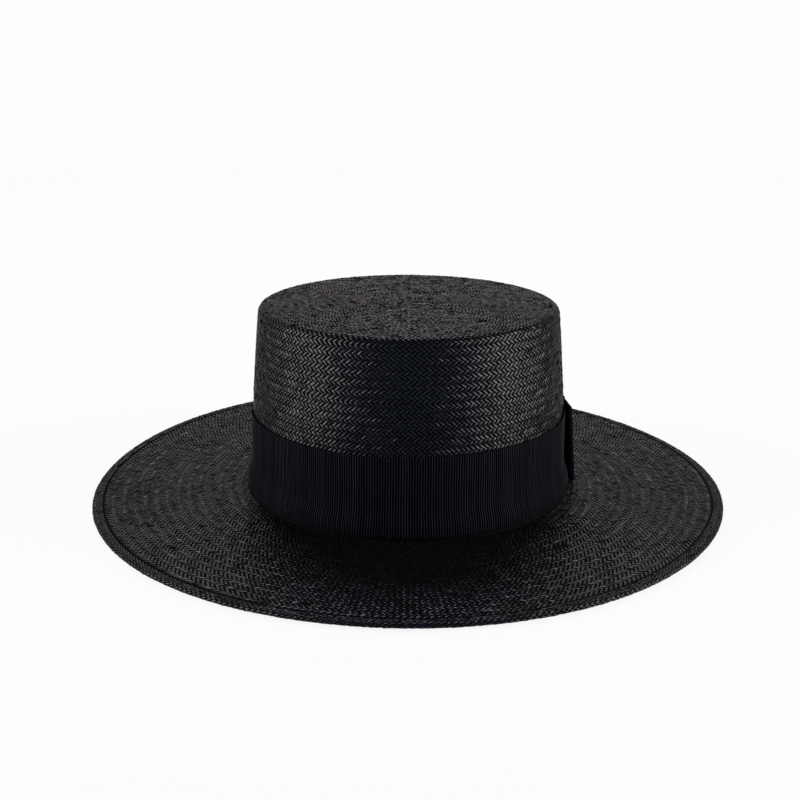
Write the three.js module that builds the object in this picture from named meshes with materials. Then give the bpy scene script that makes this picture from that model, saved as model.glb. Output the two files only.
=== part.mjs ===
// A black hand-woven straw hat with a flat crown, a wide level brim and a ribbed ribbon band
// that ends in a flat bow. Millimetres, +Z up. The hat stands on its brim, the front faces -Y
// and the bow is on the +X side, which is the left side of the head that wears it.
import * as THREE from 'three';

// Sizes that the whole hat shares
const stations = 84;
const strawThickness = 1.0;
const ribbonThickness = 1.0;
const clearance = 0.3;

// The brim is an oval plate with its edge turned under
const brimHalfWidth = 167.0;
const brimHalfLength = 187.4;
const hemThickness = 2 * strawThickness + clearance;
const hemWidth = 6.5;
const edgeRise = 0.55;
const edgeSoftening = 0.4;
const edgeWaves = [
  { waves: 1, cosine: -0.10, sine: 0.0 },
  { waves: 2, cosine: -0.17, sine: -0.99 },
  { waves: 3, cosine: 0.68, sine: 0.08 },
];

// The stitches lie in a groove of the brim, over the inner side of the hem
const stitchFromEdge = 5.7;
const stitchWidth = 0.5;
const stitchThickness = 0.35;
const stitchProud = 0.15;

// The crown wall from its shoulder down to the break, as half sizes of ovals above the brim
const crownWall = [
  { height: 93.0, halfWidth: 79.2, halfLength: 86.0 },
  { height: 80.0, halfWidth: 80.4, halfLength: 88.3 },
  { height: 66.0, halfWidth: 81.4, halfLength: 90.4 },
  { height: 53.0, halfWidth: 82.4, halfLength: 92.0 },
  { height: 41.0, halfWidth: 82.7, halfLength: 93.1 },
  { height: 13.0, halfWidth: 82.9, halfLength: 95.0 },
  { height: 8.5, halfWidth: 85.0, halfLength: 98.0 },
  { height: 2.2, halfWidth: 85.6, halfLength: 98.9 },
];
const shoulderRadius = 3.5;
const tipDome = 2.5;
const tipSlope = 0.0103;
const coveRadius = 2.2;

// The bow is one ring of ribbon pressed flat and tied at its waist by the knot.
// Half of it is given, from the waist to a loop's end: where its outer faces (front, back) and
// inner faces (innerFront, innerBack) stand out from the band, and how far its edges draw in
const bowCentreY = 26;
const bowBottom = 1.4;
const bowTop = 42.0;
const bowHalf = [
  { along: 0.0, front: 3.9, back: 1.6, innerAlong: 0.0, innerFront: 2.9, innerBack: 2.6, drawnIn: 2.4 },
  { along: 8.5, front: 3.9, back: 1.6, innerAlong: 8.5, innerFront: 2.9, innerBack: 2.6, drawnIn: 2.4 },
  { along: 12.0, front: 3.2, back: 0.9, innerAlong: 12.0, innerFront: 2.2, innerBack: 1.9, drawnIn: 1.4 },
  { along: 16.0, front: 2.6, back: 0.3, innerAlong: 16.0, innerFront: 1.6, innerBack: 1.3, drawnIn: 0.6 },
  { along: 22.0, front: 2.6, back: 0.3, innerAlong: 22.0, innerFront: 1.6, innerBack: 1.3, drawnIn: 0.1 },
  { along: 27.0, front: 2.8, back: 0.3, innerAlong: 27.0, innerFront: 1.8, innerBack: 1.3, drawnIn: 0.0 },
  { along: 31.0, front: 3.3, back: 0.3, innerAlong: 30.5, innerFront: 2.3, innerBack: 1.3, drawnIn: 0.0 },
  { along: 34.5, front: 3.9, back: 0.4, innerAlong: 33.5, innerFront: 2.85, innerBack: 1.4, drawnIn: 0.0 },
  { along: 36.3, front: 3.5, back: 0.9, innerAlong: 35.2, innerFront: 2.7, innerBack: 1.6, drawnIn: 0.0 },
  { along: 37.0, front: 2.8, back: 1.6, innerAlong: 36.0, innerFront: 2.35, innerBack: 1.95, drawnIn: 0.0 },
];
const knotHalfWidth = 7.5;
const knotSteps = 3;
const knotCut = 0.8;
const knotInnerCut = 0.15;

const brimTop = hemThickness + edgeRise;
const shoulder = crownWall[0];
const breakRow = crownWall[crownWall.length - 1];
const crownRise = shoulder.height;
const bandTopRow = crownWall.find((row) => row.height === 41.0);
const bandRows = crownWall.slice(crownWall.indexOf(bandTopRow));
const bandOut = clearance + ribbonThickness;

// How far the brim's edge waves above or below its mean height, at an angle round the hat
function edgeWave(angle) {
  let wave = 0;
  for (const row of edgeWaves) {
    wave += row.cosine * Math.cos(row.waves * angle) + row.sine * Math.sin(row.waves * angle);
  }
  return wave;
}

// The height of the brim's underside, flat where it would reach below the table
function pressedFlat(height) {
  if (height <= -edgeSoftening) {
    return 0;
  }
  if (height >= edgeSoftening) {
    return height;
  }
  return (height + edgeSoftening) ** 2 / (4 * edgeSoftening);
}

// A point of the crown: an oval at a height above the brim, moved outward.
// The crown leans a little, so that its back stands higher than its front
function crownPoint(halfWidth, halfLength, height, angle) {
  const x = halfWidth * Math.cos(angle);
  const y = halfLength * Math.sin(angle);
  return [x, y, brimTop + height + tipSlope * y * height / crownRise];
}

// A point of the brim: a distance in from the edge, and a height above its underside.
// The waves of the edge die away towards the crown as the square of the distance from it
function brimPoint(fromEdge, height, angle) {
  const halfWidth = brimHalfWidth - fromEdge;
  const halfLength = brimHalfLength - fromEdge;
  const span = brimHalfWidth - breakRow.halfWidth - coveRadius;
  const share = Math.max(0, 1 - fromEdge / span) ** 2;
  const underside = pressedFlat(edgeRise + share * edgeWave(angle));
  return [halfWidth * Math.cos(angle), halfLength * Math.sin(angle), underside + height];
}

// A closed shell from a profile whose first and last points lie on the axis.
// Each profile point is a function of the angle round the hat
function shellFromProfile(profile) {
  const positions = [];
  const indices = [];
  positions.push(...profile[0](0));
  for (let row = 1; row < profile.length - 1; row += 1) {
    for (let station = 0; station < stations; station += 1) {
      positions.push(...profile[row](2 * Math.PI * station / stations));
    }
  }
  positions.push(...profile[profile.length - 1](0));
  const last = positions.length / 3 - 1;
  const at = (row, station) => 1 + (row - 1) * stations + station % stations;
  for (let station = 0; station < stations; station += 1) {
    indices.push(0, at(1, station), at(1, station + 1));
    for (let row = 1; row < profile.length - 2; row += 1) {
      indices.push(at(row, station), at(row + 1, station), at(row + 1, station + 1));
      indices.push(at(row, station), at(row + 1, station + 1), at(row, station + 1));
    }
    indices.push(last, at(profile.length - 2, station + 1), at(profile.length - 2, station));
  }
  return solidGeometry(positions, indices);
}

// A closed ring: a section that closes on itself, carried round a path that closes on itself.
// The section starts on the outer face, at the side that the path turns right-handed about
function ringSolid(rows, steps, point) {
  const positions = [];
  const indices = [];
  for (let row = 0; row < rows; row += 1) {
    for (let step = 0; step < steps; step += 1) {
      positions.push(...point(row, step));
    }
  }
  const at = (row, step) => (row % rows) * steps + step % steps;
  for (let row = 0; row < rows; row += 1) {
    for (let step = 0; step < steps; step += 1) {
      indices.push(at(row, step), at(row + 1, step), at(row + 1, step + 1));
      indices.push(at(row, step), at(row + 1, step + 1), at(row, step + 1));
    }
  }
  return solidGeometry(positions, indices);
}

function ringFromProfile(profile) {
  return ringSolid(profile.length, stations, (row, step) => profile[row](2 * Math.PI * step / stations));
}

function solidGeometry(positions, indices) {
  const geometry = new THREE.BufferGeometry();
  geometry.setAttribute('position', new THREE.Float32BufferAttribute(positions, 3));
  geometry.setIndex(indices);
  geometry.computeVertexNormals();
  return geometry;
}

// The profile of the straw: over the tip and down the outside of the crown, out along the
// brim, round the turned-under edge, and back inside to the middle of the tip
function strawProfile() {
  const profile = [];
  const inset = strawThickness;
  const tipEdge = { halfWidth: shoulder.halfWidth - shoulderRadius, halfLength: shoulder.halfLength - shoulderRadius };
  const tipPoint = (share, drop) => (angle) => {
    const height = crownRise + shoulderRadius + tipDome * (1 - share ** 2) - drop;
    return crownPoint(tipEdge.halfWidth * share, tipEdge.halfLength * share, height, angle);
  };
  const roundedEdge = (radius, turn) => (angle) => {
    const out = radius * Math.sin(turn);
    const height = crownRise + radius * Math.cos(turn);
    return crownPoint(tipEdge.halfWidth + out, tipEdge.halfLength + out, height, angle);
  };
  const wallPoint = (row, inward) => (angle) => (
    crownPoint(row.halfWidth - inward, row.halfLength - inward, row.height, angle)
  );
  const cove = (radius, turn) => (angle) => {
    const out = coveRadius - radius * Math.cos(turn);
    const height = coveRadius - radius * Math.sin(turn);
    return crownPoint(breakRow.halfWidth + out, breakRow.halfLength + out, height, angle);
  };
  const brim = (fromEdge, height) => (angle) => brimPoint(fromEdge, height, angle);

  const grooveHalf = stitchWidth / 2 + clearance;
  const grooveFloor = hemThickness + stitchProud - stitchThickness - clearance;
  const foldRadius = hemThickness / 2;
  const foldSteps = 5;
  const foldInner = foldRadius - strawThickness;

  // Outside
  profile.push(tipPoint(0, 0), tipPoint(0.45, 0), tipPoint(0.8, 0), tipPoint(1, 0));
  for (const turn of [30, 60]) {
    profile.push(roundedEdge(shoulderRadius, THREE.MathUtils.degToRad(turn)));
  }
  for (const row of crownWall) {
    profile.push(wallPoint(row, 0));
  }
  profile.push(cove(coveRadius, Math.PI / 4), cove(coveRadius, Math.PI / 2));
  profile.push(brim(40, hemThickness));
  profile.push(brim(stitchFromEdge + grooveHalf, hemThickness), brim(stitchFromEdge + grooveHalf, grooveFloor));
  profile.push(brim(stitchFromEdge - grooveHalf, grooveFloor), brim(stitchFromEdge - grooveHalf, hemThickness));
  // Round the fold and along the turned-under strip
  for (let step = 0; step <= foldSteps; step += 1) {
    const turn = Math.PI * step / foldSteps;
    profile.push(brim(foldRadius * (1 - Math.sin(turn)), foldRadius * (1 + Math.cos(turn))));
  }
  profile.push(brim(hemWidth, 0), brim(hemWidth, strawThickness));
  profile.push(brim(foldRadius, foldRadius - foldInner), brim(foldRadius, foldRadius + foldInner));
  // Back along the underside and up the inside of the crown
  profile.push(brim(40, hemThickness - inset));
  profile.push(cove(coveRadius + inset, Math.PI / 2), cove(coveRadius + inset, Math.PI / 4));
  for (const row of [...crownWall].reverse()) {
    profile.push(wallPoint(row, inset));
  }
  profile.push(roundedEdge(shoulderRadius - inset, THREE.MathUtils.degToRad(45)));
  profile.push(tipPoint(1, inset), tipPoint(0.8, inset), tipPoint(0.45, inset), tipPoint(0, inset));
  return profile;
}

// The thread is a flat ring that stands a little proud of its groove
function stitchProfile() {
  const half = stitchWidth / 2;
  const high = hemThickness + stitchProud;
  const low = high - stitchThickness;
  return [
    (angle) => brimPoint(stitchFromEdge + half, high, angle),
    (angle) => brimPoint(stitchFromEdge - half, high, angle),
    (angle) => brimPoint(stitchFromEdge - half, low, angle),
    (angle) => brimPoint(stitchFromEdge + half, low, angle),
  ];
}

// The band follows the wall, a clearance away from it
function bandProfile() {
  const rowPoint = (row, out) => (angle) => (
    crownPoint(row.halfWidth + out, row.halfLength + out, row.height, angle)
  );
  const outside = bandRows.map((row) => rowPoint(row, bandOut));
  const inside = bandRows.map((row) => rowPoint(row, clearance)).reverse();
  return [...outside, ...inside];
}

// Angle round the band for each distance along it, from the middle of the bow towards the back
function angleAlongBand(along) {
  const middle = Math.asin(bowCentreY / (bandTopRow.halfLength + bandOut));
  const steps = 40;
  let angle = middle;
  for (let step = 0; step < steps; step += 1) {
    const dx = (bandTopRow.halfWidth + bandOut) * Math.sin(angle);
    const dy = (bandTopRow.halfLength + bandOut) * Math.cos(angle);
    angle += along / steps / Math.hypot(dx, dy);
  }
  return angle;
}

// Where a point of the bow lies: a distance along the band, out from it and up.
// The bow leans from the top edge of the band straight to its flared foot
function bowPoint(along, out, height) {
  const angle = angleAlongBand(along);
  const share = (bandTopRow.height - height) / (bandTopRow.height - breakRow.height);
  const halfWidth = THREE.MathUtils.lerp(bandTopRow.halfWidth, breakRow.halfWidth, share) + bandOut;
  const halfLength = THREE.MathUtils.lerp(bandTopRow.halfLength, breakRow.halfLength, share) + bandOut;
  const point = crownPoint(halfWidth, halfLength, height, angle);
  const normal = new THREE.Vector2(Math.cos(angle) / halfWidth, Math.sin(angle) / halfLength);
  normal.normalize();
  return [point[0] + normal.x * out, point[1] + normal.y * out, point[2]];
}

// The ribbon runs along the front of the bow, turns at its far end and comes back behind
function bowLoops() {
  const far = bowHalf.map((row) => ({ ...row, side: 1 }));
  const near = bowHalf.slice(1).map((row) => ({ ...row, side: -1 })).reverse();
  const halves = [...near, ...far];
  const path = [
    ...halves.map((row) => ({ ...row, face: 'front', innerFace: 'innerFront' })),
    ...halves.reverse().map((row) => ({ ...row, face: 'back', innerFace: 'innerBack' })),
  ];
  return ringSolid(4, path.length, (corner, step) => {
    const row = path[step];
    const upper = corner === 0 || corner === 3;
    const height = upper ? bowTop - row.drawnIn : bowBottom + row.drawnIn;
    if (corner < 2) {
      return bowPoint(row.side * row.along, row[row.face], height);
    }
    return bowPoint(row.side * row.innerAlong, row[row.innerFace], height);
  });
}

// The knot goes up the front of the waist, over it and down behind, with cut corners
function bowKnot() {
  const waist = bowHalf[0];
  const low = bowBottom + waist.drawnIn - clearance;
  const high = bowTop - waist.drawnIn + clearance;
  const front = waist.front + clearance;
  const back = waist.back - clearance;
  const corners = (thickness, cut) => [
    [front + thickness, low - thickness + cut],
    [front + thickness, high + thickness - cut],
    [front + thickness - cut, high + thickness],
    [back - thickness + cut, high + thickness],
    [back - thickness, high + thickness - cut],
    [back - thickness, low - thickness + cut],
    [back - thickness + cut, low - thickness],
    [front + thickness - cut, low - thickness],
  ];
  const outer = corners(ribbonThickness, knotCut);
  const inner = corners(0, knotInnerCut);
  const across = [];
  for (let step = 0; step <= knotSteps; step += 1) {
    across.push(knotHalfWidth * (2 * step / knotSteps - 1));
  }
  const section = [
    ...across.map((along) => ({ along, path: outer })),
    ...across.reverse().map((along) => ({ along, path: inner })),
  ];
  return ringSolid(section.length, outer.length, (row, step) => (
    bowPoint(section[row].along, ...section[row].path[step])
  ));
}

function straw(colour) {
  return new THREE.MeshStandardMaterial({ color: colour, roughness: 0.5, metalness: 0, side: THREE.FrontSide });
}

function ribbon(colour) {
  return new THREE.MeshStandardMaterial({ color: colour, roughness: 0.75, metalness: 0, side: THREE.FrontSide });
}

function named(name, geometry, material) {
  const mesh = new THREE.Mesh(geometry, material);
  mesh.name = name;
  return mesh;
}

const hat = new THREE.Group();
hat.name = 'straw_hat';
hat.add(named('straw_body', shellFromProfile(strawProfile()), straw(0x2a292b)));
hat.add(named('hem_stitching', ringFromProfile(stitchProfile()), ribbon(0x0d0d0f)));
hat.add(named('hat_band', ringFromProfile(bandProfile()), ribbon(0x121318)));
hat.add(named('bow_loops', bowLoops(), ribbon(0x101116)));
hat.add(named('bow_knot', bowKnot(), ribbon(0x0f1014)));

export default hat;
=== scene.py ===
import math

import bpy
import numpy as np
from mathutils import Matrix


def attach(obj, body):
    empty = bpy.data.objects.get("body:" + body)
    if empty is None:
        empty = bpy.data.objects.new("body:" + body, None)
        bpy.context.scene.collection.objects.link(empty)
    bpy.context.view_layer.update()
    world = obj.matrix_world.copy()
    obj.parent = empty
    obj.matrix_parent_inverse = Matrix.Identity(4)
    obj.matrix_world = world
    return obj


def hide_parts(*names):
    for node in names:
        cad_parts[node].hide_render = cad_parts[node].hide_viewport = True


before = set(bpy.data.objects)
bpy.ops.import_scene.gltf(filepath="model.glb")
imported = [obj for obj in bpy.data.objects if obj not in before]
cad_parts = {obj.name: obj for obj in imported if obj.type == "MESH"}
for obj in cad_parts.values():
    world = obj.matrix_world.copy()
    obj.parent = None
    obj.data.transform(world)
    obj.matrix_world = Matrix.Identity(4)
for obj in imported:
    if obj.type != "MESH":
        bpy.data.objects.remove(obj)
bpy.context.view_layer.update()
dice = np.random.default_rng(17)

hat = {
    "brimHalfWidth": 0.1670,
    "brimHalfLength": 0.1874,
    "hemThickness": 0.0023,
    "hemWidth": 0.0065,
    "edgeRise": 0.00055,  # mean height of the brim's underside over the table
    "edgeSoftening": 0.0004,
    "shoulderRadius": 0.0035,
    "tipDome": 0.0025,
    "tipSlope": 0.0103,
    "coveRadius": 0.0022,
    "strawThickness": 0.0010,
}
# waves of the edge: how many go round, and their cosine and sine parts
edgeWaves = [(1, -0.10e-3, 0.0), (2, -0.17e-3, -0.99e-3), (3, 0.68e-3, 0.08e-3)]
# height over the brim's top, half width and half length, from the shoulder down to the break
crownWall = 0.001 * np.array(
    [
        (93.0, 79.2, 86.0),
        (80.0, 80.4, 88.3),
        (66.0, 81.4, 90.4),
        (53.0, 82.4, 92.0),
        (41.0, 82.7, 93.1),
        (13.0, 82.9, 95.0),
        (8.5, 85.0, 98.0),
        (2.2, 85.6, 98.9),
    ]
)
crownRise = crownWall[0, 0]
bandTopRow = crownWall[4]
breakRow = crownWall[-1]
brimSpan = hat["brimHalfWidth"] - breakRow[1] - hat["coveRadius"]
turnAll = 2 * math.pi


# How high the brim's underside lies: the mean rise plus a share of the edge's waves. Within one softening
# of the table it is instead the square of (height + softening) over 4 softenings, so it stays above 0
def undersideHeight(share, angle):
    wave = sum(cosine * np.cos(n * angle) + sine * np.sin(n * angle) for n, cosine, sine in edgeWaves)
    height = hat["edgeRise"] + share * wave
    soft = hat["edgeSoftening"]
    eased = np.clip(height + soft, 0, 2 * soft) ** 2 / (4 * soft)
    return np.where(height > soft, height, eased)


# A point of the hat: an oval of two half sizes at a height over the brim's top. The crown leans with y,
# and the waves of the edge die away towards the crown as the square of the distance
def place(halfWidth, halfLength, height, angle):
    x = halfWidth * np.cos(angle)
    y = halfLength * np.sin(angle)
    share = np.clip(1 - (hat["brimHalfWidth"] - halfWidth) / brimSpan, 0, 1) ** 2
    lean = hat["tipSlope"] * y * np.maximum(height, 0) / crownRise
    z = hat["hemThickness"] + undersideHeight(share, angle) + height + lean
    return np.stack(np.broadcast_arrays(x, y, z), -1)


# Half sizes of the crown's wall at heights, read straight between the rows of the table
def wallSizes(height):
    order = crownWall[::-1]
    return np.interp(height, order[:, 0], order[:, 1]), np.interp(height, order[:, 0], order[:, 2])


# A row of values, each replaced by the mean of itself and the four on either side
def smoothed(values):
    return np.convolve(np.pad(values, 4, "edge"), np.ones(9) / 9, "valid")


# The outside of the hat as one path of ovals, from the middle of the tip over the crown and the brim,
# round the fold and back under the turned strip. Each stretch is (name, half widths, half lengths, heights)
def outerStretches():
    radius = hat["shoulderRadius"]
    halfHem = hat["hemThickness"] / 2
    steps = {"tip": 30, "shoulder": 9, "wall": 160, "cove": 7, "brim": 60, "fold": 15, "strip": 6}
    tipWidth, tipLength = crownWall[0, 1] - radius, crownWall[0, 2] - radius
    share = np.linspace(0.005, 1, steps["tip"])
    turn = np.linspace(0.1, 1, steps["shoulder"]) * math.pi / 2
    wallHeight = np.linspace(crownRise, breakRow[0], steps["wall"])[1:]
    wallWidth, wallLength = [smoothed(sizes) for sizes in wallSizes(wallHeight)]
    cove = np.linspace(0.15, 1, steps["cove"]) * math.pi / 2
    coveOut = hat["coveRadius"] * (1 - np.cos(cove))
    fromEdge = np.linspace(brimSpan, halfHem, steps["brim"])[1:]
    fold = np.linspace(0.06, 1, steps["fold"]) * math.pi
    foldIn = halfHem * (1 - np.sin(fold))
    strip = np.linspace(halfHem, hat["hemWidth"], steps["strip"])[1:]
    width, length = hat["brimHalfWidth"], hat["brimHalfLength"]
    return [
        ("tip", tipWidth * share, tipLength * share, crownRise + radius + hat["tipDome"] * (1 - share**2)),
        (
            "shoulder",
            tipWidth + radius * np.sin(turn),
            tipLength + radius * np.sin(turn),
            crownRise + radius * np.cos(turn),
        ),
        ("wall", wallWidth, wallLength, wallHeight),
        ("cove", breakRow[1] + coveOut, breakRow[2] + coveOut, hat["coveRadius"] * (1 - np.sin(cove))),
        ("brim", width - fromEdge, length - fromEdge, 0 * fromEdge),
        ("fold", width - foldIn, length - foldIn, halfHem * (np.cos(fold) - 1)),
        ("strip", width - strip, length - strip, 0 * strip - hat["hemThickness"]),
    ]


# The stretches end to end, with where each of them ends. The distance along them is the sum of the steps
# in height and in the mean of the two half sizes
def pathOf(stretches):
    rows = np.concatenate([np.stack(stretch[1:], -1) for stretch in stretches])
    out = rows[:, :2].mean(1)
    along = np.concatenate([[0], np.cumsum(np.hypot(np.diff(out), np.diff(rows[:, 2])))])
    ends = np.cumsum([len(stretch[1]) for stretch in stretches]) - 1
    marks = {stretch[0]: along[end] for stretch, end in zip(stretches, ends)}
    return {"rows": rows, "along": along, "end": marks}


# A point of a path: its half sizes and height read straight between the rows, placed at an angle
def onPath(path, along, angle):
    sizes = [np.interp(along, path["along"], path["rows"][:, i]) for i in range(3)]
    return place(*sizes, angle)


# A point lifted off the path's surface along its normal, which is the cross product of the steps
# down the path and round the hat. None lies below the table, which presses the straw flat
def lifted(path, along, angle, lift):
    step, turn = 1.5e-4, 1e-3
    along = np.clip(along, path["along"][0] + step, path["along"][-1] - step)
    along, angle, lift = np.broadcast_arrays(along, angle, lift)
    down = onPath(path, along + step, angle) - onPath(path, along - step, angle)
    around = onPath(path, along, angle + turn) - onPath(path, along, angle - turn)
    normal = np.cross(down, around)
    normal /= np.linalg.norm(normal, axis=-1, keepdims=True)
    points = onPath(path, along, angle) + normal * lift[..., None]
    points[..., 2] = np.maximum(points[..., 2], 0)
    return points


outerPath = pathOf(outerStretches())
mark = outerPath["end"]


# Where the path is, counted from its start, at a distance in from the brim's edge
def alongFromEdge(fromEdge):
    return mark["brim"] - (fromEdge - hat["hemThickness"] / 2)


# A mesh from whole arrays: points, faces of four or three corners, a map by corner and values by point
def makeMesh(name, points, faceSets, cornerMap=None, mapName="strand", values=None):
    mesh = bpy.data.meshes.new(name)
    corners = np.concatenate([faces.ravel() for faces in faceSets]).astype(np.int32)
    sizes = np.concatenate([np.full(len(faces), faces.shape[1]) for faces in faceSets])
    mesh.vertices.add(len(points))
    mesh.vertices.foreach_set("co", points.astype(np.float32).ravel())
    mesh.loops.add(len(corners))
    mesh.loops.foreach_set("vertex_index", corners)
    mesh.polygons.add(len(sizes))
    mesh.polygons.foreach_set("loop_start", (np.cumsum(sizes) - sizes).astype(np.int32))
    mesh.polygons.foreach_set("use_smooth", np.ones(len(sizes), bool))
    mesh.update(calc_edges=True)
    if cornerMap is not None:
        layer = mesh.uv_layers.new(name=mapName)
        layer.uv.foreach_set("vector", cornerMap.astype(np.float32).ravel())
    for key, column in (values or {}).items():
        attribute = mesh.attributes.new(key, "FLOAT", "POINT")
        attribute.data.foreach_set("value", column.astype(np.float32).ravel())
    mesh.validate()
    return mesh


# The four-cornered faces of a grid: point number = row times columns + column. With them go the same
# corners as (column, row), open, as they are before a ring closes on itself
def gridFaces(rows, columns, ringRows=False, ringColumns=True):
    row, column = np.meshgrid(
        np.arange(rows if ringRows else rows - 1),
        np.arange(columns if ringColumns else columns - 1),
        indexing="ij",
    )
    corner = [(row, column), (row + 1, column), (row + 1, column + 1), (row, column + 1)]
    faces = np.stack([(down % rows) * columns + across % columns for down, across in corner], -1)
    openCorners = np.stack([np.stack([across, down], -1) for down, across in corner], -2)
    return faces.reshape(-1, 4), openCorners.reshape(-1, 4, 2)


# Angles evenly round a full turn
def evenTurns(count):
    return np.arange(count) / count * turnAll


# A mesh as a piece of the part: its materials, the body it rides and the nodes it stands for. Its slot is not
# used
def addPiece(mesh, materials, slot, *nodes):
    piece = bpy.data.objects.new(mesh.name, mesh)
    bpy.context.scene.collection.objects.link(piece)
    for material in materials:
        mesh.materials.append(material)
    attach(piece, "root")
    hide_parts(*nodes)
    mesh.calc_loop_triangles()
    print(f"{piece.name}: {len(mesh.loop_triangles)} triangles")
    return piece


# A shader node. Each input is a plain value or the socket of another node
def addNode(tree, kind, inputs=None, **settings):
    node = tree.nodes.new(kind)
    for key, value in settings.items():
        setattr(node, key, value)
    for socket, value in (inputs or {}).items():
        if isinstance(value, bpy.types.NodeSocket):
            tree.links.new(value, node.inputs[socket])
        else:
            node.inputs[socket].default_value = value
    return node


# One sum on sockets or plain values, by the name of its operation
def maths(tree, operation, *values):
    return addNode(tree, "ShaderNodeMath", dict(enumerate(values)), operation=operation).outputs[0]


# A material with its tree and its shader, whose sockets hold the uniform values
def newMaterial(name, **sockets):
    material = bpy.data.materials.new(name)
    material.use_nodes = True
    shader = material.node_tree.nodes["Principled BSDF"]
    for key, value in sockets.items():
        shader.inputs[key].default_value = value
    return material, material.node_tree, shader


# A colour read straight between the stops, each (position, colour)
def rampOf(tree, factor, stops):
    ramp = addNode(tree, "ShaderNodeValToRGB", {"Fac": factor})
    elements = ramp.color_ramp.elements
    while len(elements) < len(stops):
        elements.new(0.5)
    for element, (position, colour) in zip(elements, stops):
        element.position = position
        element.color = (*colour, 1)
    return ramp.outputs["Color"]


# A value between 0 and 1 carried over to between low and high, and held there
def spread(tree, value, low, high):
    between = {"Value": value, "To Min": low, "To Max": high}
    return addNode(tree, "ShaderNodeMapRange", between).outputs["Result"]


# Noise about 0.5 whose grain is drawn out by a scale for each direction
def stretchedNoise(tree, coordinates, scale):
    mapping = addNode(tree, "ShaderNodeMapping", {"Vector": coordinates, "Scale": scale})
    settings = {"Vector": mapping.outputs[0], "Scale": 1.0, "Detail": 2.0}
    return addNode(tree, "ShaderNodeTexNoise", settings).outputs["Fac"]


# Colour and roughness fed to the shader, and its normal bumped by a height
def feed(tree, shader, colour, roughness, height, strength, distance):
    bump = addNode(tree, "ShaderNodeBump", {"Height": height, "Strength": strength, "Distance": distance})
    tree.links.new(colour, shader.inputs["Base Color"])
    tree.links.new(roughness, shader.inputs["Roughness"])
    tree.links.new(bump.outputs[0], shader.inputs["Normal"])


strawLook = {
    "dark": (0.0014, 0.0016, 0.0027),
    "middle": (0.0054, 0.0060, 0.0090),
    "pale": (0.0150, 0.0156, 0.0205),
    "specular": 0.55,
    "roughLow": 0.13,
    "roughHigh": 0.35,
    "fibre": 0.6,
    "patchScale": (22.0, 22.0, 30.0),
}
strawStops = [(0.0, strawLook["dark"]), (0.5, strawLook["middle"]), (1.0, strawLook["pale"])]


# Straw strands: the tone of each strand, with fibres drawn out along it and broad patches of handling
def strawMaterial():
    material, tree, shader = newMaterial("black_straw", **{"Specular IOR Level": strawLook["specular"]})
    strand = addNode(tree, "ShaderNodeUVMap", uv_map="strand").outputs[0]
    tone = addNode(tree, "ShaderNodeAttribute", attribute_name="tone").outputs["Fac"]
    objectPlace = addNode(tree, "ShaderNodeTexCoord").outputs["Object"]
    fibres = stretchedNoise(tree, strand, (0.16, 1.5, 1.0))
    patches = stretchedNoise(tree, objectPlace, strawLook["patchScale"])
    mixed = maths(tree, "ADD", tone, spread(tree, fibres, -0.75, 0.75))
    mixed = maths(tree, "ADD", mixed, spread(tree, patches, -0.16, 0.16))
    roughness = spread(tree, mixed, strawLook["roughHigh"], strawLook["roughLow"])
    feed(tree, shader, rampOf(tree, mixed, strawStops), roughness, fibres, strawLook["fibre"], 0.0003)
    return material


# The strands that pass behind the floats, darker than the floats as painted shade in the gaps between them
def shadeMaterial():
    material, tree, shader = newMaterial("straw_behind_painted_shade", Roughness=0.8, **{"Specular IOR Level": 0.1})
    objectPlace = addNode(tree, "ShaderNodeTexCoord").outputs["Object"]
    grain = stretchedNoise(tree, objectPlace, (900.0, 900.0, 900.0))
    stops = [(0.3, (0.0006, 0.0006, 0.0007)), (0.8, (0.0022, 0.0021, 0.0021))]
    tree.links.new(rampOf(tree, grain, stops), shader.inputs["Base Color"])
    return material


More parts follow.
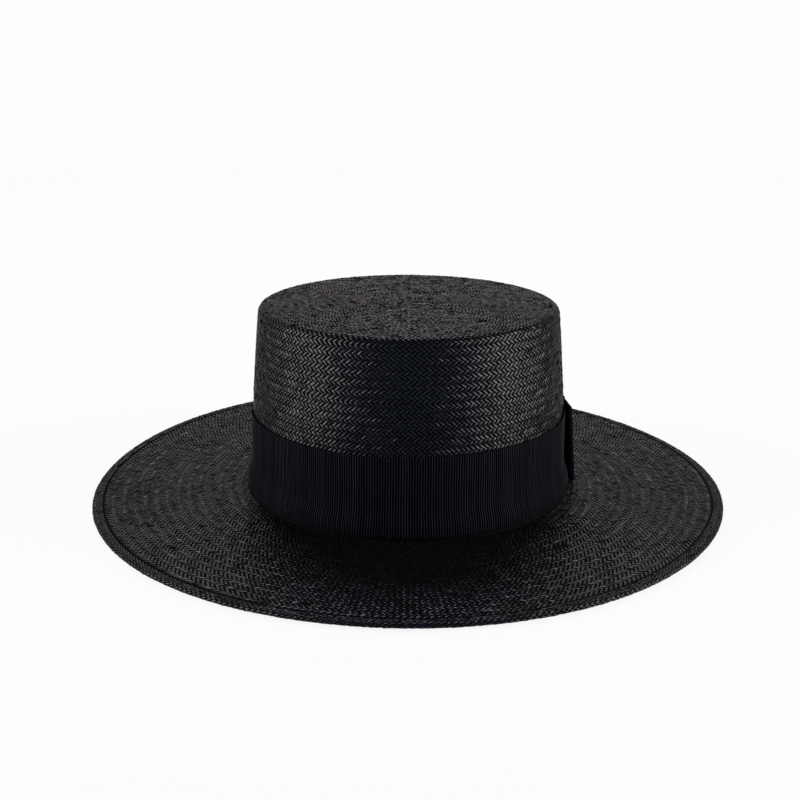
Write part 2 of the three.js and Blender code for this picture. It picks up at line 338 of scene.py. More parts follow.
# The same weave drawn on a smooth skin: with u = rows + floats and v = rows - floats, one family of
# strands is on top where floor(u) + floor(v) is 0 or 1 past a multiple of 4, and the other elsewhere.
# A strand's height is 1 less the cube of twice the distance from its middle. It bumps the surface, and it
# also darkens the tone towards the gaps between strands as painted shade
def wovenSkinMaterial():
    material, tree, shader = newMaterial("black_straw_skin", **{"Specular IOR Level": 0.3})
    counted = addNode(tree, "ShaderNodeUVMap", uv_map="strand").outputs[0]
    objectPlace = addNode(tree, "ShaderNodeTexCoord").outputs["Object"]
    split = addNode(tree, "ShaderNodeSeparateXYZ", {0: counted})
    floats, rows = split.outputs[0], split.outputs[1]
    u = maths(tree, "ADD", rows, floats)
    v = maths(tree, "SUBTRACT", rows, floats)
    floorU, floorV = maths(tree, "FLOOR", u), maths(tree, "FLOOR", v)
    fractU, fractV = maths(tree, "FRACT", u), maths(tree, "FRACT", v)
    phase = maths(tree, "FLOORED_MODULO", maths(tree, "ADD", floorU, floorV), 4.0)
    first = maths(tree, "LESS_THAN", phase, 1.5)
    across = addNode(tree, "ShaderNodeMix", {0: first, 2: fractU, 3: fractV}, data_type="FLOAT").outputs[0]
    off = maths(tree, "ABSOLUTE", maths(tree, "SUBTRACT", across, 0.5))
    height = maths(tree, "SUBTRACT", 1.0, maths(tree, "POWER", maths(tree, "MULTIPLY", off, 2.0), 3.0))
    strandOf = addNode(tree, "ShaderNodeMix", {0: first, 2: floorU, 3: floorV}, data_type="FLOAT").outputs[0]
    noise = addNode(tree, "ShaderNodeTexWhiteNoise", {"W": strandOf}, noise_dimensions="1D").outputs["Value"]
    patches = stretchedNoise(tree, objectPlace, strawLook["patchScale"])
    # painted shade: the strand's tone is multiplied by its height, so the colour darkens towards the gaps
    tone = maths(tree, "MULTIPLY", spread(tree, noise, 0.35, 0.75), height)
    tone = maths(tree, "ADD", tone, spread(tree, patches, -0.14, 0.14))
    roughness = spread(tree, noise, strawLook["roughLow"], strawLook["roughHigh"])
    feed(tree, shader, rampOf(tree, tone, strawStops), roughness, height, 0.8, 0.0003)
    return material


# the dark is painted shade in the ribs' furrows and the pale a painted highlight on their crests
ribbonLook = {
    "dark": (0.0001, 0.0001, 0.0003),
    "pale": (0.0440, 0.0465, 0.0600),
    "specular": 0.03,
    "roughLow": 0.34,
    "roughHigh": 0.85,
}


# Ribbed ribbon: fine warp threads cross the ribs. The crests of the ribs are smoother, and paler as a painted
# highlight, while the furrows are darkened as painted shade
def ribbonMaterial():
    material, tree, shader = newMaterial("ribbed_ribbon", **{"Specular IOR Level": ribbonLook["specular"]})
    cloth = addNode(tree, "ShaderNodeUVMap", uv_map="cloth").outputs[0]
    crestSmoothAndHighlight = addNode(tree, "ShaderNodeAttribute", attribute_name="crestSmoothAndHighlight").outputs["Fac"]
    warp = stretchedNoise(tree, cloth, (0.25, 3.2, 1.0))
    weft = stretchedNoise(tree, cloth, (3.0, 0.12, 1.0))
    mixed = maths(tree, "ADD", maths(tree, "MULTIPLY", crestSmoothAndHighlight, 0.9), spread(tree, warp, -0.12, 0.12))
    mixed = maths(tree, "ADD", mixed, spread(tree, weft, -0.12, 0.12))
    # painted highlight and shade: the colour runs from dark in the furrows to pale on the crests
    colour = rampOf(tree, mixed, [(0.0, ribbonLook["dark"]), (1.0, ribbonLook["pale"])])
    worn = maths(tree, "ADD", crestSmoothAndHighlight, spread(tree, warp, -0.15, 0.15))
    roughness = spread(tree, worn, ribbonLook["roughHigh"], ribbonLook["roughLow"])
    feed(tree, shader, colour, roughness, warp, 0.35, 0.0002)
    return material


# Sewing thread: two plies twist round each other as slanting bands across the stitch
def threadMaterial():
    material, tree, shader = newMaterial("black_thread", **{"Specular IOR Level": 0.2})
    twist = addNode(tree, "ShaderNodeUVMap", uv_map="thread").outputs[0]
    split = addNode(tree, "ShaderNodeSeparateXYZ", {0: twist})
    slant = maths(tree, "ADD", maths(tree, "MULTIPLY", split.outputs[0], 3.0), split.outputs[1])
    ply = maths(tree, "SINE", maths(tree, "MULTIPLY", slant, turnAll))
    stops = [(0.0, (0.0006, 0.0006, 0.0008)), (1.0, (0.0024, 0.0024, 0.0030))]
    colour = rampOf(tree, spread(tree, ply, 0.0, 1.0), stops)
    feed(tree, shader, colour, spread(tree, ply, 0.85, 0.6), ply, 0.5, 0.0001)
    return material


blackStraw = strawMaterial()
strawShade = shadeMaterial()
strawSkin = wovenSkinMaterial()
ribbedRibbon = ribbonMaterial()
blackThread = threadMaterial()
print("materials made")

weave = {
    "tipRow": 0.00225,
    "wallRow": 0.00220,
    "brimRow": 0.00270,
    "hemRow": 0.00130,
    "alongSteps": np.array([-1.32, -0.92, 0.0, 0.92, 1.32]),
    "alongLift": 0.001 * np.array([-0.22, 0.08, 0.13, 0.08, -0.22]),
    "acrossSteps": np.array([-0.44, -0.29, 0.29, 0.44]),
    "acrossLift": 0.001 * np.array([-0.18, 0.0, 0.0, -0.18]),
    "groundDrop": 0.00030,
    "groundLap": 0.001,
    "groundTone": 0.02,
    # how much chance changes a float: its roll, pitch and lift in metres, the rest as shares of a step
    "roll": 0.00011,
    "pitch": 0.00006,
    "lean": 0.03,
    "shift": 0.04,
    "unevenLift": 0.00005,
    "narrowest": 0.80,
    "widest": 1.03,
    "toneLowest": 0.18,
    "toneOfStrand": 0.28,
    "toneOfFloat": 0.36,
    "mapStep": np.array([0.9, 2.2]),  # millimetres across and along for one step of a float's grid
    "mapOffset": 400,
    # the rows wander by sines: how far, waves round the hat, distance along for one radian, first angle
    "wander": [(0.00030, 2, 0.021, 0.0), (0.00022, 5, -0.013, 1.3), (0.00012, 11, 0.008, 4.0)],
}


# Slow wandering of the rows by hand: the sum of three sines of the angle and the distance
def rowDrift(angle, along):
    return sum(
        far * np.sin(waves * angle + along / length + first) for far, waves, length, first in weave["wander"]
    )


# The floats of one zone of herringbone. In floats and rows, float n of row k has its middle at
# (n + 1/4, k + 3/4) in even rows and (n + 3/4, k + 3/4) in odd ones. A step `long` along it and `wide` across
# it moves (long + wide) / 2 rows on and (long - wide) / 2 floats round, to one side in even rows and the
# other in odd ones. Chance tips and lifts its middle, by less and less towards its ends
def zoneFloats(start, rows, around, rowHeight):
    row, number = np.meshgrid(np.arange(rows), np.arange(around), indexing="ij")
    side = np.where(row % 2 == 0, 1, -1)
    strand = np.where(side > 0, row - number, row + number + 1) % around
    family = (side > 0).astype(int)
    strandTone = dice.random((2, around))[family, strand]
    strandWidth = dice.uniform(weave["narrowest"], weave["widest"], (2, around))[family, strand]
    floatTone = dice.random(row.shape)
    lean, shift, raised, roll, pitch = dice.normal(0, 1, (5, *row.shape, 1, 1))
    run = weave["alongSteps"][:, None]
    across = weave["acrossSteps"][None, :]
    fromMiddle = run / weave["alongSteps"][-1]
    wide = across * strandWidth[..., None, None] + weave["lean"] * run * lean
    long = run + weave["shift"] * shift + 0 * across
    rowAt = row[..., None, None] + 0.75 + (long + wide) / 2
    floatAt = number[..., None, None] + 0.25 + (row % 2)[..., None, None] / 2
    floatAt = floatAt + side[..., None, None] * (long - wide) / 2
    angle = floatAt / around * turnAll
    along = start + rowAt * rowHeight
    lift = weave["alongLift"][:, None] + weave["acrossLift"][None, :]
    lift = lift + weave["unevenLift"] * raised * (1 - fromMiddle**2)
    tipped = 2 * across * weave["roll"] * roll + run * weave["pitch"] * pitch
    lift = lift + tipped * (1 - fromMiddle**4)
    points = lifted(outerPath, along + rowDrift(angle, along), angle, lift + 0 * along)
    count = row.size
    steps, wides = len(weave["alongSteps"]), len(weave["acrossSteps"])
    patch, openCorners = gridFaces(steps, wides, ringColumns=False)
    faces = patch[None] + (np.arange(count) * steps * wides)[:, None, None]
    flip = (side > 0).ravel()
    faces[flip] = faces[flip][..., ::-1]
    corners = np.broadcast_to(openCorners[None], (count, *openCorners.shape)).copy()
    corners[flip] = corners[flip][..., ::-1, :]
    offset = dice.uniform(0, weave["mapOffset"], (count, 1, 1, 2))
    cornerMap = (corners * weave["mapStep"] + offset)[..., ::-1]
    tone = weave["toneLowest"] + weave["toneOfStrand"] * strandTone + weave["toneOfFloat"] * floatTone
    tone = np.broadcast_to(tone[..., None, None], points.shape[:-1])
    # painted shade: the sides and ends of a float take the dark material of the ground, as they lie in their
    # neighbours' shade
    shaded = np.ones((steps - 1, wides - 1), np.int32)
    shaded[1:-1, 1:-1] = 0
    shaded = np.tile(shaded.ravel(), count)
    return points.reshape(-1, 3), faces.reshape(-1, 4), cornerMap.reshape(-1, 2), tone.ravel(), shaded


# The ground below the floats, dark with painted shade: a ring grid of the same skin, let down by the ground's
# drop
def groundOf(start, end, rows, columns, closeMiddle):
    along = np.linspace(start, end, rows)[:, None]
    angle = evenTurns(columns)[None, :]
    points = lifted(outerPath, along, angle, -weave["groundDrop"] + 0 * angle).reshape(-1, 3)
    faces, _ = gridFaces(rows, columns)
    faceSets = [faces]
    if closeMiddle:
        points = np.concatenate([points, points[:columns].mean(0, keepdims=True)])
        ring = np.arange(columns)
        faceSets.append(np.stack([np.full(columns, rows * columns), ring, (ring + 1) % columns], -1))
    return points, faceSets


# One woven piece: the floats of its zones, each (floats round, rows, row height), over a ground given as
# (start, end, rows, columns)
def wovenPiece(name, start, zones, ground, closeMiddle=False):
    points, faceSets = groundOf(*ground, closeMiddle)
    triangles = faceSets[1:]
    pointSets, quads = [points], [faceSets[0]]
    maps, tones = [np.zeros((faceSets[0].size, 2))], [np.full(len(points), weave["groundTone"])]
    shades = [np.ones(len(faceSets[0]), np.int32)]
    total = len(points)
    for around, rows, rowHeight in zones:
        floats, faces, cornerMap, tone, shaded = zoneFloats(start, rows, around, rowHeight)
        pointSets.append(floats)
        quads.append(faces + total)
        maps.append(cornerMap)
        tones.append(tone)
        shades.append(shaded)
        total += len(floats)
        start += rows * rowHeight
    maps += [np.zeros((faces.size, 2)) for faces in triangles]
    shades += [np.ones(len(faces), np.int32) for faces in triangles]
    mesh = makeMesh(
        name,
        np.concatenate(pointSets),
        [np.concatenate(quads), *triangles],
        np.concatenate(maps),
        values={"tone": np.concatenate(tones)},
    )
    piece = addPiece(mesh, [blackStraw, strawShade], "straw", "straw_body")
    # the ground and the floats' sides and ends take the second material, painted shade
    mesh.polygons.foreach_set("material_index", np.concatenate(shades))
    return piece


lap = weave["groundLap"]
tipRow, wallRow = weave["tipRow"], weave["wallRow"]
tipZones = [(8, 2, 0.0020), (16, 2, tipRow), (30, 4, tipRow), (54, 6, tipRow), (90, 8, tipRow)]
tipStart = 0.0008
tipDone = tipStart + sum(rows * high for _, rows, high in tipZones)
lastRows = 2 * round((mark["shoulder"] - tipDone) / tipRow / 2)
lastHeight = (mark["shoulder"] - tipDone) / lastRows
tipZones += [(138, lastRows // 4 * 2, lastHeight), (172, lastRows - lastRows // 4 * 2, lastHeight)]
tipGround = (tipStart / 2, mark["shoulder"] + lap, 40, 140)
wovenPiece("tip_weave", tipStart, tipZones, tipGround, closeMiddle=True)

underBand = 0.004  # the wall's weave goes on this far under the band's top edge
upperRows = 12
bandTopAt = np.interp(-bandTopRow[0], -outerPath["rows"][:, 2], outerPath["along"])
wallRows = 2 * round((bandTopAt + underBand - mark["shoulder"]) / wallRow / 2)
wallZones = [(180, upperRows, wallRow), (204, wallRows - upperRows, wallRow)]
wovenPiece("wall_weave", mark["shoulder"], wallZones, (mark["shoulder"], mark["cove"] + lap, 40, 160))
print("crown woven")

brimWeave = {
    "upCove": 0.0020,  # the weave begins this far up the cove, under the band's lower edge
    "zoneRows": 10,
    # from the edge of the brim to the two sides of the groove that the stitches lie in
    "grooveInside": 0.0067,
    "grooveOutside": 0.0051,
    "grooveLap": 0.0012,
    "hemLap": 0.0016,
    "hemEnd": 0.0020,
}
brimStart = mark["cove"] - brimWeave["upCove"]
brimEnd = alongFromEdge(brimWeave["grooveInside"])
brimRows = 2 * round((brimEnd - brimStart) / weave["brimRow"] / 2)
brimRow = (brimEnd - brimStart) / brimRows
zoneRows = brimWeave["zoneRows"]
innerEnd = brimStart + zoneRows * brimRow
middleEnd = innerEnd + zoneRows * brimRow
innerZones = [(236, zoneRows, brimRow)]
middleZones = [(296, zoneRows, brimRow)]
outerZones = [(352, brimRows - 2 * zoneRows, brimRow)]
wovenPiece("inner_brim_weave", brimStart, innerZones, (mark["cove"], innerEnd + lap, 16, 220))
wovenPiece("middle_brim_weave", innerEnd, middleZones, (innerEnd, middleEnd + lap, 14, 260))
outerGround = (middleEnd, brimEnd + brimWeave["grooveLap"], 10, 300)
wovenPiece("outer_brim_weave", middleEnd, outerZones, outerGround)
hemStart = alongFromEdge(brimWeave["grooveOutside"])
hemRows = 2 * round((mark["strip"] - brimWeave["hemEnd"] - hemStart) / weave["hemRow"] / 2)
hemZones = [(372, hemRows, weave["hemRow"])]
wovenPiece("hem_weave", hemStart, hemZones, (hemStart - brimWeave["hemLap"], mark["strip"], 26, 280))
print("brim woven")


# The inside as one path of ovals: from inside the fold along the brim's underside, up the crown's
# inner wall and in to the middle of the tip, all one straw thickness inside the outer path
def innerStretches():
    inset = hat["strawThickness"]
    steps = {"under": 60, "cove": 8, "wall": 120, "edge": 6, "tip": 30}
    fromEdge = np.linspace(hat["hemThickness"] / 2, brimSpan, steps["under"])
    cove = np.linspace(1, 0.1, steps["cove"]) * math.pi / 2
    coveIn = hat["coveRadius"] - (hat["coveRadius"] + inset) * np.cos(cove)
    wallHeight = np.linspace(breakRow[0], crownRise, steps["wall"])[1:]
    wallWidth, wallLength = wallSizes(wallHeight)
    radius = hat["shoulderRadius"] - inset
    tipWidth = crownWall[0, 1] - hat["shoulderRadius"]
    tipLength = crownWall[0, 2] - hat["shoulderRadius"]
    turn = np.linspace(0.9, 0.1, steps["edge"]) * math.pi / 2
    share = np.linspace(1, 0.005, steps["tip"])
    return [
        ("under", hat["brimHalfWidth"] - fromEdge, hat["brimHalfLength"] - fromEdge, 0 * fromEdge - inset),
        (
            "cove",
            breakRow[1] + coveIn,
            breakRow[2] + coveIn,
            hat["coveRadius"] - (hat["coveRadius"] + inset) * np.sin(cove),
        ),
        ("wall", wallWidth - inset, wallLength - inset, wallHeight),
        (
            "edge",
            tipWidth + radius * np.sin(turn),
            tipLength + radius * np.sin(turn),
            crownRise + radius * np.cos(turn),
        ),
        (
            "tip",
            tipWidth * share,
            tipLength * share,
            crownRise + hat["shoulderRadius"] - inset + hat["tipDome"] * (1 - share**2),
        ),
    ]


# A smooth inner skin. Its map counts floats round and rows along, so that its material can draw the weave
def innerSkin(name, start, end, rows, columns, around, closeMiddle=False):
    along = np.linspace(start, end, rows)[:, None]
    angle = evenTurns(columns)[None, :]
    points = lifted(innerPath, along, angle, 0 * angle).reshape(-1, 3)
    faces, openCorners = gridFaces(rows, columns)
    step = np.array([around / columns, (end - start) / (rows - 1) / weave["brimRow"]])
    maps = [(openCorners * step).reshape(-1, 2)]
    faceSets = [faces]
    if closeMiddle:
        last = (rows - 1) * columns + np.arange(columns)
        points = np.concatenate([points, points[last].mean(0, keepdims=True)])
        faceSets.append(np.stack([last, np.full(columns, rows * columns), np.roll(last, -1)], -1))
        maps.append(np.zeros((columns * 3, 2)))
    mesh = makeMesh(name, points, faceSets, np.concatenate(maps))
    return addPiece(mesh, [strawSkin], "straw", "straw_body")


innerPath = pathOf(innerStretches())
innerMark = innerPath["end"]
innerSkin("brim_underside", 0.0, innerMark["under"], 24, 200, 320)
innerSkin("crown_inside", innerMark["under"], innerMark["tip"], 60, 160, 192, closeMiddle=True)
print("underside and inside made")

stitches = {
    "fromEdge": 0.0059,
    "pitch": 0.0034,
    "length": 0.0032,
    "radius": 0.00034,
    "lift": -0.00008,
    "sides": 6,
    "steps": 6,
    "taper": 0.94,
    "dive": 0.00012,
    "unevenMiddle": 0.05,
    "slant": 0.00006,
}


# Stitches: short round rods laid round the brim. A run of -1 to 1 goes along each rod. Its radius shrinks
# by the root of 1 less the fourth power of 0.94 times the run, and it sinks by the square of the run, so
# that both ends dive into the straw
def hemStitches():
    circuit = math.pi * (hat["brimHalfWidth"] + hat["brimHalfLength"] - 2 * stitches["fromEdge"])
    count = round(circuit / stitches["pitch"])
    steps, sides = stitches["steps"], stitches["sides"]
    run = np.linspace(-1, 1, steps)[None, :, None]
    turn = evenTurns(sides)[None, None, :]
    middle = (np.arange(count) + 0.5)[:, None, None] / count * turnAll
    wobble = dice.normal(0, 1, (3, count, 1, 1))
    half = stitches["length"] / circuit * math.pi
    angle = middle + half * (run + stitches["unevenMiddle"] * wobble[0]) + 0 * turn
    taper = np.sqrt(np.clip(1 - (stitches["taper"] * run) ** 4, 0, 1))
    out = stitches["radius"] * taper * np.cos(turn)
    up = stitches["radius"] * taper * np.sin(turn) + stitches["lift"] - stitches["dive"] * run**2
    along = alongFromEdge(stitches["fromEdge"]) + out + stitches["slant"] * wobble[1] * run
    points = lifted(outerPath, along, angle, up + 0 * angle)
    patch, openCorners = gridFaces(steps, sides)
    faces = patch[None, :, ::-1] + (np.arange(count) * steps * sides)[:, None, None]
    corners = np.broadcast_to(openCorners[None, :, ::-1], (count, *openCorners.shape))
    corners = corners / np.array([sides, steps - 1])
    ends = np.arange(sides)
    caps = np.stack([ends, ends[::-1] + (steps - 1) * sides])
    caps = caps[None] + (np.arange(count) * steps * sides)[:, None, None]
    mesh = makeMesh(
        "hem_stitches",
        points.reshape(-1, 3),
        [faces.reshape(-1, 4), caps.reshape(-1, sides)],
        np.concatenate([corners[..., ::-1].reshape(-1, 2), np.zeros((caps.size, 2))]),
        mapName="thread",
    )
    return addPiece(mesh, [blackThread], "thread", "hem_stitching")


hemStitches()
print("hem stitched")

ribbon = {
    "ribPitch": 0.00128,
    "ribDepth": 0.00040,
    "samples": 4,
    "thickness": 0.0005,
    "bandOut": 0.0013,
    "bandTop": 0.0410,
    "bandBottom": 0.0022,
    "flareHigh": 0.0148,
    "flareLow": 0.0132,
}


# Half sizes of the crown's wall at a height, from the outer path
def wallAt(height):
    rows = outerPath["rows"]
    return (
        np.interp(-height, -rows[:, 2], rows[:, 0]),
        np.interp(-height, -rows[:, 2], rows[:, 1]),
    )


# The rib wave at a count of ribs, the size of the cosine of pi times the count: 1 on a crest, 0 in a furrow
def ribWave(ribs):
    return np.abs(np.cos(math.pi * ribs))


# Angles round an oval that lie at even steps along it: the sum of short steps, read backwards
def evenAngles(width, length, count):
    angle = np.linspace(0, turnAll, 7201)
    middle = (angle[1:] + angle[:-1]) / 2
    walked = np.concatenate([[0], np.cumsum(np.hypot(width * np.sin(middle), length * np.cos(middle)))])
    return np.interp(np.arange(count) / count * walked[-1], walked, angle)


# One piece of ribbon, its ribs running across it. The map counts millimetres along the ribbon and, by a
# step of its own, round the section
# Its crest value makes the crests smoother and gives them a painted highlight
def ribbonPiece(name, node, points, faces, corners, sectionStep, crestSmoothAndHighlight):
    clothStep = np.array([ribbon["ribPitch"] / ribbon["samples"] * 1000, sectionStep])
    mesh = makeMesh(
        name,
        points.reshape(-1, 3),
        [faces],
        (corners * clothStep).reshape(-1, 2),
        mapName="cloth",
        values={"crestSmoothAndHighlight": np.broadcast_to(crestSmoothAndHighlight, points.shape[:-1])},
    )
    return addPiece(mesh, [ribbedRibbon], "ribbon", node)


# The band: a thin closed section of ribbon carried round the crown. The section goes down the outer
# face, round the lower edge, up the inner face and over the top edge, and the outer face rises at each
# rib. It stands off by two sines round the crown, and its ribs sway by a sine of the height
def hatBand():
    top, bottom, thick = ribbon["bandTop"], ribbon["bandBottom"], ribbon["thickness"]
    straight = np.linspace(top - 0.002, ribbon["flareHigh"], 5)
    flared = np.linspace(ribbon["flareLow"], bottom + 0.0006, 10)
    outside = np.concatenate([[top - 0.0001, top - 0.0006], straight, flared])
    inside = np.array([bottom + 0.0001, 0.0080, 0.0130, top - 0.0001])
    height = np.concatenate([outside, [bottom], inside, [top]])
    inward = np.concatenate([0 * outside, [thick / 2], 0 * inside + thick, [thick / 2]])
    inward[0] = 0.00015
    crestShare = np.concatenate([0 * outside + 1, [0.5], 0 * inside, [0.5]])
    width, length = wallAt(height)
    out = ribbon["bandOut"] - inward
    circuit = math.pi * (width.mean() + length.mean() + 2 * ribbon["bandOut"])
    ribs = round(circuit / ribbon["ribPitch"])
    columns = ribs * ribbon["samples"]
    angle = evenAngles(width.mean(), length.mean(), columns)
    wave = ribWave(np.arange(columns) / ribbon["samples"])[None, :]
    ribTone = np.repeat(dice.uniform(0.55, 1.0, ribs), ribbon["samples"])
    depth = ribbon["ribDepth"] * (1 - wave) * crestShare[:, None]
    loose = 0.00012 * np.sin(7 * angle + 0.7) + 0.00010 * np.sin(17 * angle + 2.1)
    loose = loose[None, :] * (height[:, None] / top) * (crestShare[:, None] > 0)
    grow = out[:, None] - depth + loose * 0.6
    sway = 0.0011 * np.sin(height[:, None] / 0.0052 + 5 * angle) * np.sin(9 * angle + 0.4)
    edge = np.where(np.abs(height - top) < 0.0002, -0.00012, 0.0)[:, None] * (1 - wave)
    height = height[:, None] + edge
    points = place(width[:, None] + grow, length[:, None] + grow, height, angle[None, :] + sway)
    faces, corners = gridFaces(len(height), columns, ringRows=True)
    # the crests get a painted highlight, its strength varied at random from rib to rib
    return ribbonPiece("band_ribbon", "hat_band", points, faces, corners, 2.4, wave**12 * ribTone)


hatBand()
print("band made")

bow = {
    "centreY": 0.026,
    "bottom": 0.0014,
    "top": 0.0420,
    "knotHalfWidth": 0.0075,
    "waistFront": 0.0039,
    "waistBack": 0.0016,
}
# half of the ring of ribbon: distance along the band, out from it at the front and at the back, and
# how far its edges draw in
bowHalf = 0.001 * np.array(
    [
        (0.0, 3.9, 1.6, 2.4),
        (8.5, 3.9, 1.6, 2.4),
        (12.0, 3.2, 0.9, 1.4),
        (16.0, 2.6, 0.3, 0.6),
        (22.0, 2.6, 0.3, 0.1),
        (27.0, 2.8, 0.3, 0.0),
        (31.0, 3.3, 0.3, 0.0),
        (34.5, 3.9, 0.4, 0.0),
        (36.3, 3.5, 0.9, 0.0),
        (37.0, 2.8, 1.6, 0.0),
    ]
)


# Angle round the band at a distance along it from the middle of the bow: the sum of the steps along
# the oval, read backwards
def bowAngle(along):
    angle = np.linspace(-0.6, 1.4, 4001)
    width, length = bandTopRow[1:] + ribbon["bandOut"]
    step = np.hypot(width * np.sin(angle), length * np.cos(angle)) * (angle[1] - angle[0])
    distance = np.cumsum(step)
    middle = math.asin(bow["centreY"] / length)
    return np.interp(along + np.interp(middle, angle, distance), distance, angle)


# A point of the bow: the oval of the band at a height, leaning straight from the band's top edge to
# its flared foot, moved out along the oval's normal
def bowPoint(along, out, height):
    angle = bowAngle(along)
    share = (bandTopRow[0] - height) / (bandTopRow[0] - breakRow[0])
    width = bandTopRow[1] + (breakRow[1] - bandTopRow[1]) * share + ribbon["bandOut"]
    length = bandTopRow[2] + (breakRow[2] - bandTopRow[2]) * share + ribbon["bandOut"]
    point = place(width, length, height, angle)
    normal = np.stack([np.cos(angle) / width, np.sin(angle) / length], -1)
    normal /= np.linalg.norm(normal, axis=-1, keepdims=True)
    return point + np.concatenate([normal * np.asarray(out)[..., None], 0 * point[..., :1]], -1)


# A closed line through points, walked at even steps. It is rounded first by cutting its corners three
# times: each side keeps the points at a quarter and three quarters of its length
def evenLoop(rows, count):
    for _ in range(3):
        following = np.roll(rows, -1, axis=0)
        cut = [0.75 * rows + 0.25 * following, 0.25 * rows + 0.75 * following]
        rows = np.stack(cut, 1).reshape(-1, rows.shape[1])
    closed = np.concatenate([rows, rows[:1]])
    walked = np.concatenate([[0], np.cumsum(np.linalg.norm(np.diff(closed[:, :2], axis=0), axis=1))])
    at = np.arange(count) / count * walked[-1]
    return np.stack([np.interp(at, walked, closed[:, i]) for i in range(rows.shape[1])], -1), walked[-1]


# The bow's loops: one ring of ribbon along the front of the bow, round its far end, back behind and
# round the near end. Its section is a thin closed strip, upright, with a rib across it at every pitch.
# Beside the knot it is creased by a sine up the ribbon under a bell curve along it
def bowLoops():
    far = bowHalf
    near = bowHalf[:0:-1] * np.array([-1, 1, 1, 1])
    both = np.concatenate([near, far])
    front = both[:, [0, 1, 3]]
    back = both[::-1][:, [0, 2, 3]]
    loop, circuit = evenLoop(np.concatenate([front, back]), 2000)
    ribs = round(circuit / ribbon["ribPitch"])
    columns = ribs * ribbon["samples"]
    loop, _ = evenLoop(loop[::10], columns)
    wave = ribWave(np.arange(columns) / ribbon["samples"])
    ahead = np.roll(loop[:, :2], -1, axis=0) - np.roll(loop[:, :2], 1, axis=0)
    ahead /= np.linalg.norm(ahead, axis=1, keepdims=True)
    inward = np.stack([ahead[:, 1], -ahead[:, 0]], -1)
    # the section of the ribbon: up its outer face and down its inner one, as shares of height and thickness
    level = [0.0, 0.012, 0.1, 0.25, 0.42, 0.58, 0.75, 0.9, 0.988, 1.0, 1.0, 0.985, 0.7, 0.4, 0.015, 0.0]
    depth = [0.5, 0.0, 0, 0, 0, 0, 0, 0, 0, 0.35, 0.65, 1.0, 1.0, 1.0, 1.0, 0.65]
    level, depth = np.array(level), np.array(depth)
    low = bow["bottom"] + loop[:, 2]
    high = bow["top"] - loop[:, 2]
    height = low + (high - low) * level[:, None]
    outer = (depth < 0.5)[:, None]
    fold = np.exp(-(((np.abs(loop[:, 0]) - 0.012) / 0.006) ** 2)) * (loop[:, 1] > 0.0018)
    crease = 0.00022 * fold * np.sin(level[:, None] * 5 * math.pi)
    sink = depth[:, None] * ribbon["thickness"] + outer * ribbon["ribDepth"] * (1 - wave) - crease
    along = loop[:, 0] + inward[:, 0] * sink
    out = loop[:, 1] + inward[:, 1] * sink
    points = bowPoint(along, out, height)
    faces, corners = gridFaces(len(level), columns, ringRows=True)
    # the crests get a weaker painted highlight
    return ribbonPiece("bow_ribbon", "bow_loops", points, faces, corners, 3.0, 0.45 * wave**6)


# The knot: a strip of the ribbon up the front of the waist, over it and down behind, whose ribs lie
# level. Its section is the strip's closed outline, drawn in a little at the middle of the front
def bowKnot():
    gap, thick, rounding = 0.0003, 0.001, 0.0009
    low = bow["bottom"] + bowHalf[0, 3] - gap
    high = bow["top"] - bowHalf[0, 3] + gap
    front, back = bow["waistFront"] + gap + thick, bow["waistBack"] - gap - thick
    over, under = high + rounding, low - rounding
    outline = [(front, low), (front, high), (front - rounding, over), (back + rounding, over)]
    outline += [(back, high), (back, low), (back + rounding, under), (front - rounding, under)]
    loop, circuit = evenLoop(np.array(outline), 1200)
    ribs = round(circuit / ribbon["ribPitch"])
    rows = ribs * ribbon["samples"]
    loop, _ = evenLoop(loop[::12], rows)
    wave = ribWave(np.arange(rows) / ribbon["samples"])[:, None]
    ahead = np.roll(loop, -1, axis=0) - np.roll(loop, 1, axis=0)
    ahead /= np.linalg.norm(ahead, axis=1, keepdims=True)
    inward = np.stack([-ahead[:, 1], ahead[:, 0]], -1)
    # the section of the strip: across its outer face and back along its inner one, as shares
    across = np.array([-1, -0.985, -0.7, -0.35, 0, 0.35, 0.7, 0.985, 1, 1, 0.98, 0.5, 0, -0.5, -0.98, -1])
    depth = np.array([0.35, 0, 0, 0, 0, 0, 0, 0, 0.35, 0.65, 1, 1, 1, 1, 1, 0.65])
    outer = depth < 0.5
    middle = np.sin(np.clip((loop[:, 1] - low) / (high - low), 0, 1) * math.pi)[:, None]
    half = bow["knotHalfWidth"] - 0.0007 * middle
    pleat = 0.00016 * (1 - np.cos(across * 2.5 * math.pi)) * middle
    sink = depth * 0.0006 + outer * (ribbon["ribDepth"] * (1 - wave) + pleat)
    moved = loop[..., None] + inward[..., None] * sink[:, None]
    points = bowPoint(half * across, moved[:, 0], moved[:, 1])
    faces, corners = gridFaces(rows, len(across), ringRows=True)
    # the crests get a weaker painted highlight
    return ribbonPiece("knot_ribbon", "bow_knot", points, faces, corners[..., ::-1], 1.5, 0.6 * wave**6)


bowLoops()
bowKnot()
print("bow made")

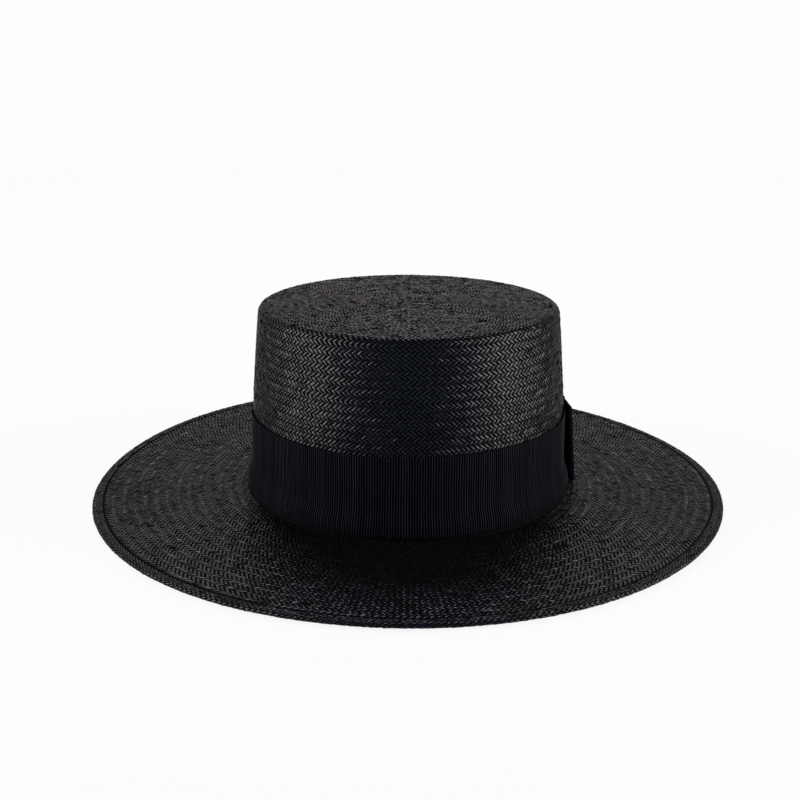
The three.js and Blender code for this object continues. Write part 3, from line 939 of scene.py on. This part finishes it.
studio = {
    "floorHalf": 12.0,
    "floorColour": (0.16, 0.16, 0.16),
    "nearGlow": 0.89,
    "farGlow": 0.94,
    "glowRange": (0.5, 2.5),
    "backdrop": 0.98,
    "ceiling": 0.18,
    "ceilingRange": (0.40, 0.80),
    # the room's light by direction, from before the hat (0) to behind it (1): share, strength, colour
    "room": [
        (0.00, 0.28, (0.50, 0.62, 1.00)),
        (0.19, 0.28, (0.50, 0.62, 1.00)),
        (0.27, 1.00, (1.00, 0.92, 0.95)),
        (0.46, 0.90, (1.00, 0.92, 0.95)),
        (0.64, 0.27, (1.00, 0.95, 0.92)),
        (0.88, 0.20, (1.00, 0.95, 0.92)),
        (0.97, 0.38, (1.00, 0.90, 0.84)),
    ],
    # place, aim, size, watts, colour
    "lights": {
        "left_softbox": ((-1.30, -0.22, 0.42), (0, 0, 0.05), (1.1, 1.1), 9, (1.0, 0.94, 0.95)),
        "right_softbox": ((1.30, -0.22, 0.42), (0, 0, 0.05), (1.1, 1.1), 11, (1.0, 0.94, 0.95)),
        "top_softbox": ((0.0, 1.05, 1.45), (0, 0, 0.03), (0.9, 0.5), 6, (0.80, 0.88, 1.0)),
    },
}


# The floor is one large plate, a hair below the straw. Its glow rises with the distance from the hat, and
# glossy rays don't see it
def studioFloor():
    half = studio["floorHalf"]
    corners = np.array([(-half, -half, 0), (half, -half, 0), (half, half, 0), (-half, half, 0)])
    mesh = makeMesh("studio_floor", corners - np.array([0, 0, 0.0001]), [np.array([[0, 1, 2, 3]])])
    floor = bpy.data.objects.new("studio_floor", mesh)
    bpy.context.scene.collection.objects.link(floor)
    material, tree, shader = newMaterial("pale_floor", Roughness=0.9)
    shader.inputs["Specular IOR Level"].default_value = 0.1
    shader.inputs["Base Color"].default_value = (*studio["floorColour"], 1)
    shader.inputs["Emission Color"].default_value = (1, 1, 1, 1)
    objectPlace = addNode(tree, "ShaderNodeTexCoord").outputs["Object"]
    away = addNode(tree, "ShaderNodeVectorMath", {0: objectPlace}, operation="LENGTH").outputs["Value"]
    near, far = studio["glowRange"]
    ends = {"From Min": near, "From Max": far, "To Min": studio["nearGlow"], "To Max": studio["farGlow"]}
    glow = addNode(tree, "ShaderNodeMapRange", {"Value": away, **ends})
    tree.links.new(glow.outputs["Result"], shader.inputs["Emission Strength"])
    floor.visible_glossy = False
    mesh.materials.append(material)


# The room's light changes with the direction round the hat: its share is half of 1 plus the cosine of the
# angle from straight behind. It fades towards the ceiling, and the camera sees a plain pale backdrop
def studioRoom():
    world = bpy.data.worlds.new("studio_room")
    bpy.context.scene.world = world
    world.use_nodes = True
    tree = world.node_tree
    tree.nodes.clear()
    direction = addNode(tree, "ShaderNodeTexCoord").outputs["Generated"]
    split = addNode(tree, "ShaderNodeSeparateXYZ", {0: direction})
    level = addNode(tree, "ShaderNodeCombineXYZ", {0: split.outputs[0], 1: split.outputs[1]}).outputs[0]
    length = addNode(tree, "ShaderNodeVectorMath", {0: level}, operation="LENGTH").outputs["Value"]
    towards = maths(tree, "DIVIDE", split.outputs[1], maths(tree, "MAXIMUM", length, 0.001))
    share = maths(tree, "MULTIPLY_ADD", towards, 0.5, 0.5)
    stops = [(at, tuple(strength * part for part in colour)) for at, strength, colour in studio["room"]]
    colour = rampOf(tree, share, stops)
    low, high = studio["ceilingRange"]
    fade = {"From Min": low, "From Max": high, "To Min": 1.0, "To Max": studio["ceiling"]}
    fade["Value"] = split.outputs[2]
    ceiling = addNode(tree, "ShaderNodeMapRange", fade, interpolation_type="SMOOTHSTEP")
    room = addNode(tree, "ShaderNodeBackground", {"Color": colour, "Strength": ceiling.outputs["Result"]})
    backdrop = addNode(tree, "ShaderNodeBackground", {"Color": (1, 1, 1, 1), "Strength": studio["backdrop"]})
    seen = addNode(tree, "ShaderNodeLightPath").outputs["Is Camera Ray"]
    mix = addNode(tree, "ShaderNodeMixShader", {0: seen, 1: room.outputs[0], 2: backdrop.outputs[0]})
    addNode(tree, "ShaderNodeOutputWorld", {"Surface": mix.outputs[0]})


# The softboxes, each turned so that it looks from its place to its aim
def studioLights():
    for name, (at, aim, size, power, colour) in studio["lights"].items():
        data = bpy.data.lights.new(name, "AREA")
        data.shape = "RECTANGLE"
        data.size, data.size_y = size
        data.energy = power
        data.color = colour
        light = bpy.data.objects.new(name, data)
        bpy.context.scene.collection.objects.link(light)
        direction = np.array(aim) - np.array(at)
        light.visible_camera = False
        light.location = at
        light.rotation_euler = (
            math.atan2(math.hypot(direction[0], direction[1]), -direction[2]),
            0,
            math.atan2(-direction[0], direction[1]),
        )


camera = {
    "at": (-0.00073, -0.64771, 0.22199),
    "pitchDown": 0.26629,
    "roll": 0.00616,
    "lens": 55.947,
    "shift": (-0.00872, 0.00134),
}


# The camera looks along +Y, pitched down, and is then rolled about its own axis
def photoCamera():
    data = bpy.data.cameras.new("photo_camera")
    data.lens = camera["lens"]
    data.sensor_width = 36
    data.shift_x, data.shift_y = camera["shift"]
    viewer = bpy.data.objects.new("photo_camera", data)
    bpy.context.scene.collection.objects.link(viewer)
    tilt = Matrix.Rotation(math.pi / 2 - camera["pitchDown"], 4, "X")
    viewer.matrix_world = Matrix.Translation(camera["at"]) @ tilt @ Matrix.Rotation(camera["roll"], 4, "Z")
    bpy.context.scene.camera = viewer


studioFloor()
studioRoom()
studioLights()
photoCamera()
bpy.context.scene.view_settings.view_transform = "Standard"
print("studio made")
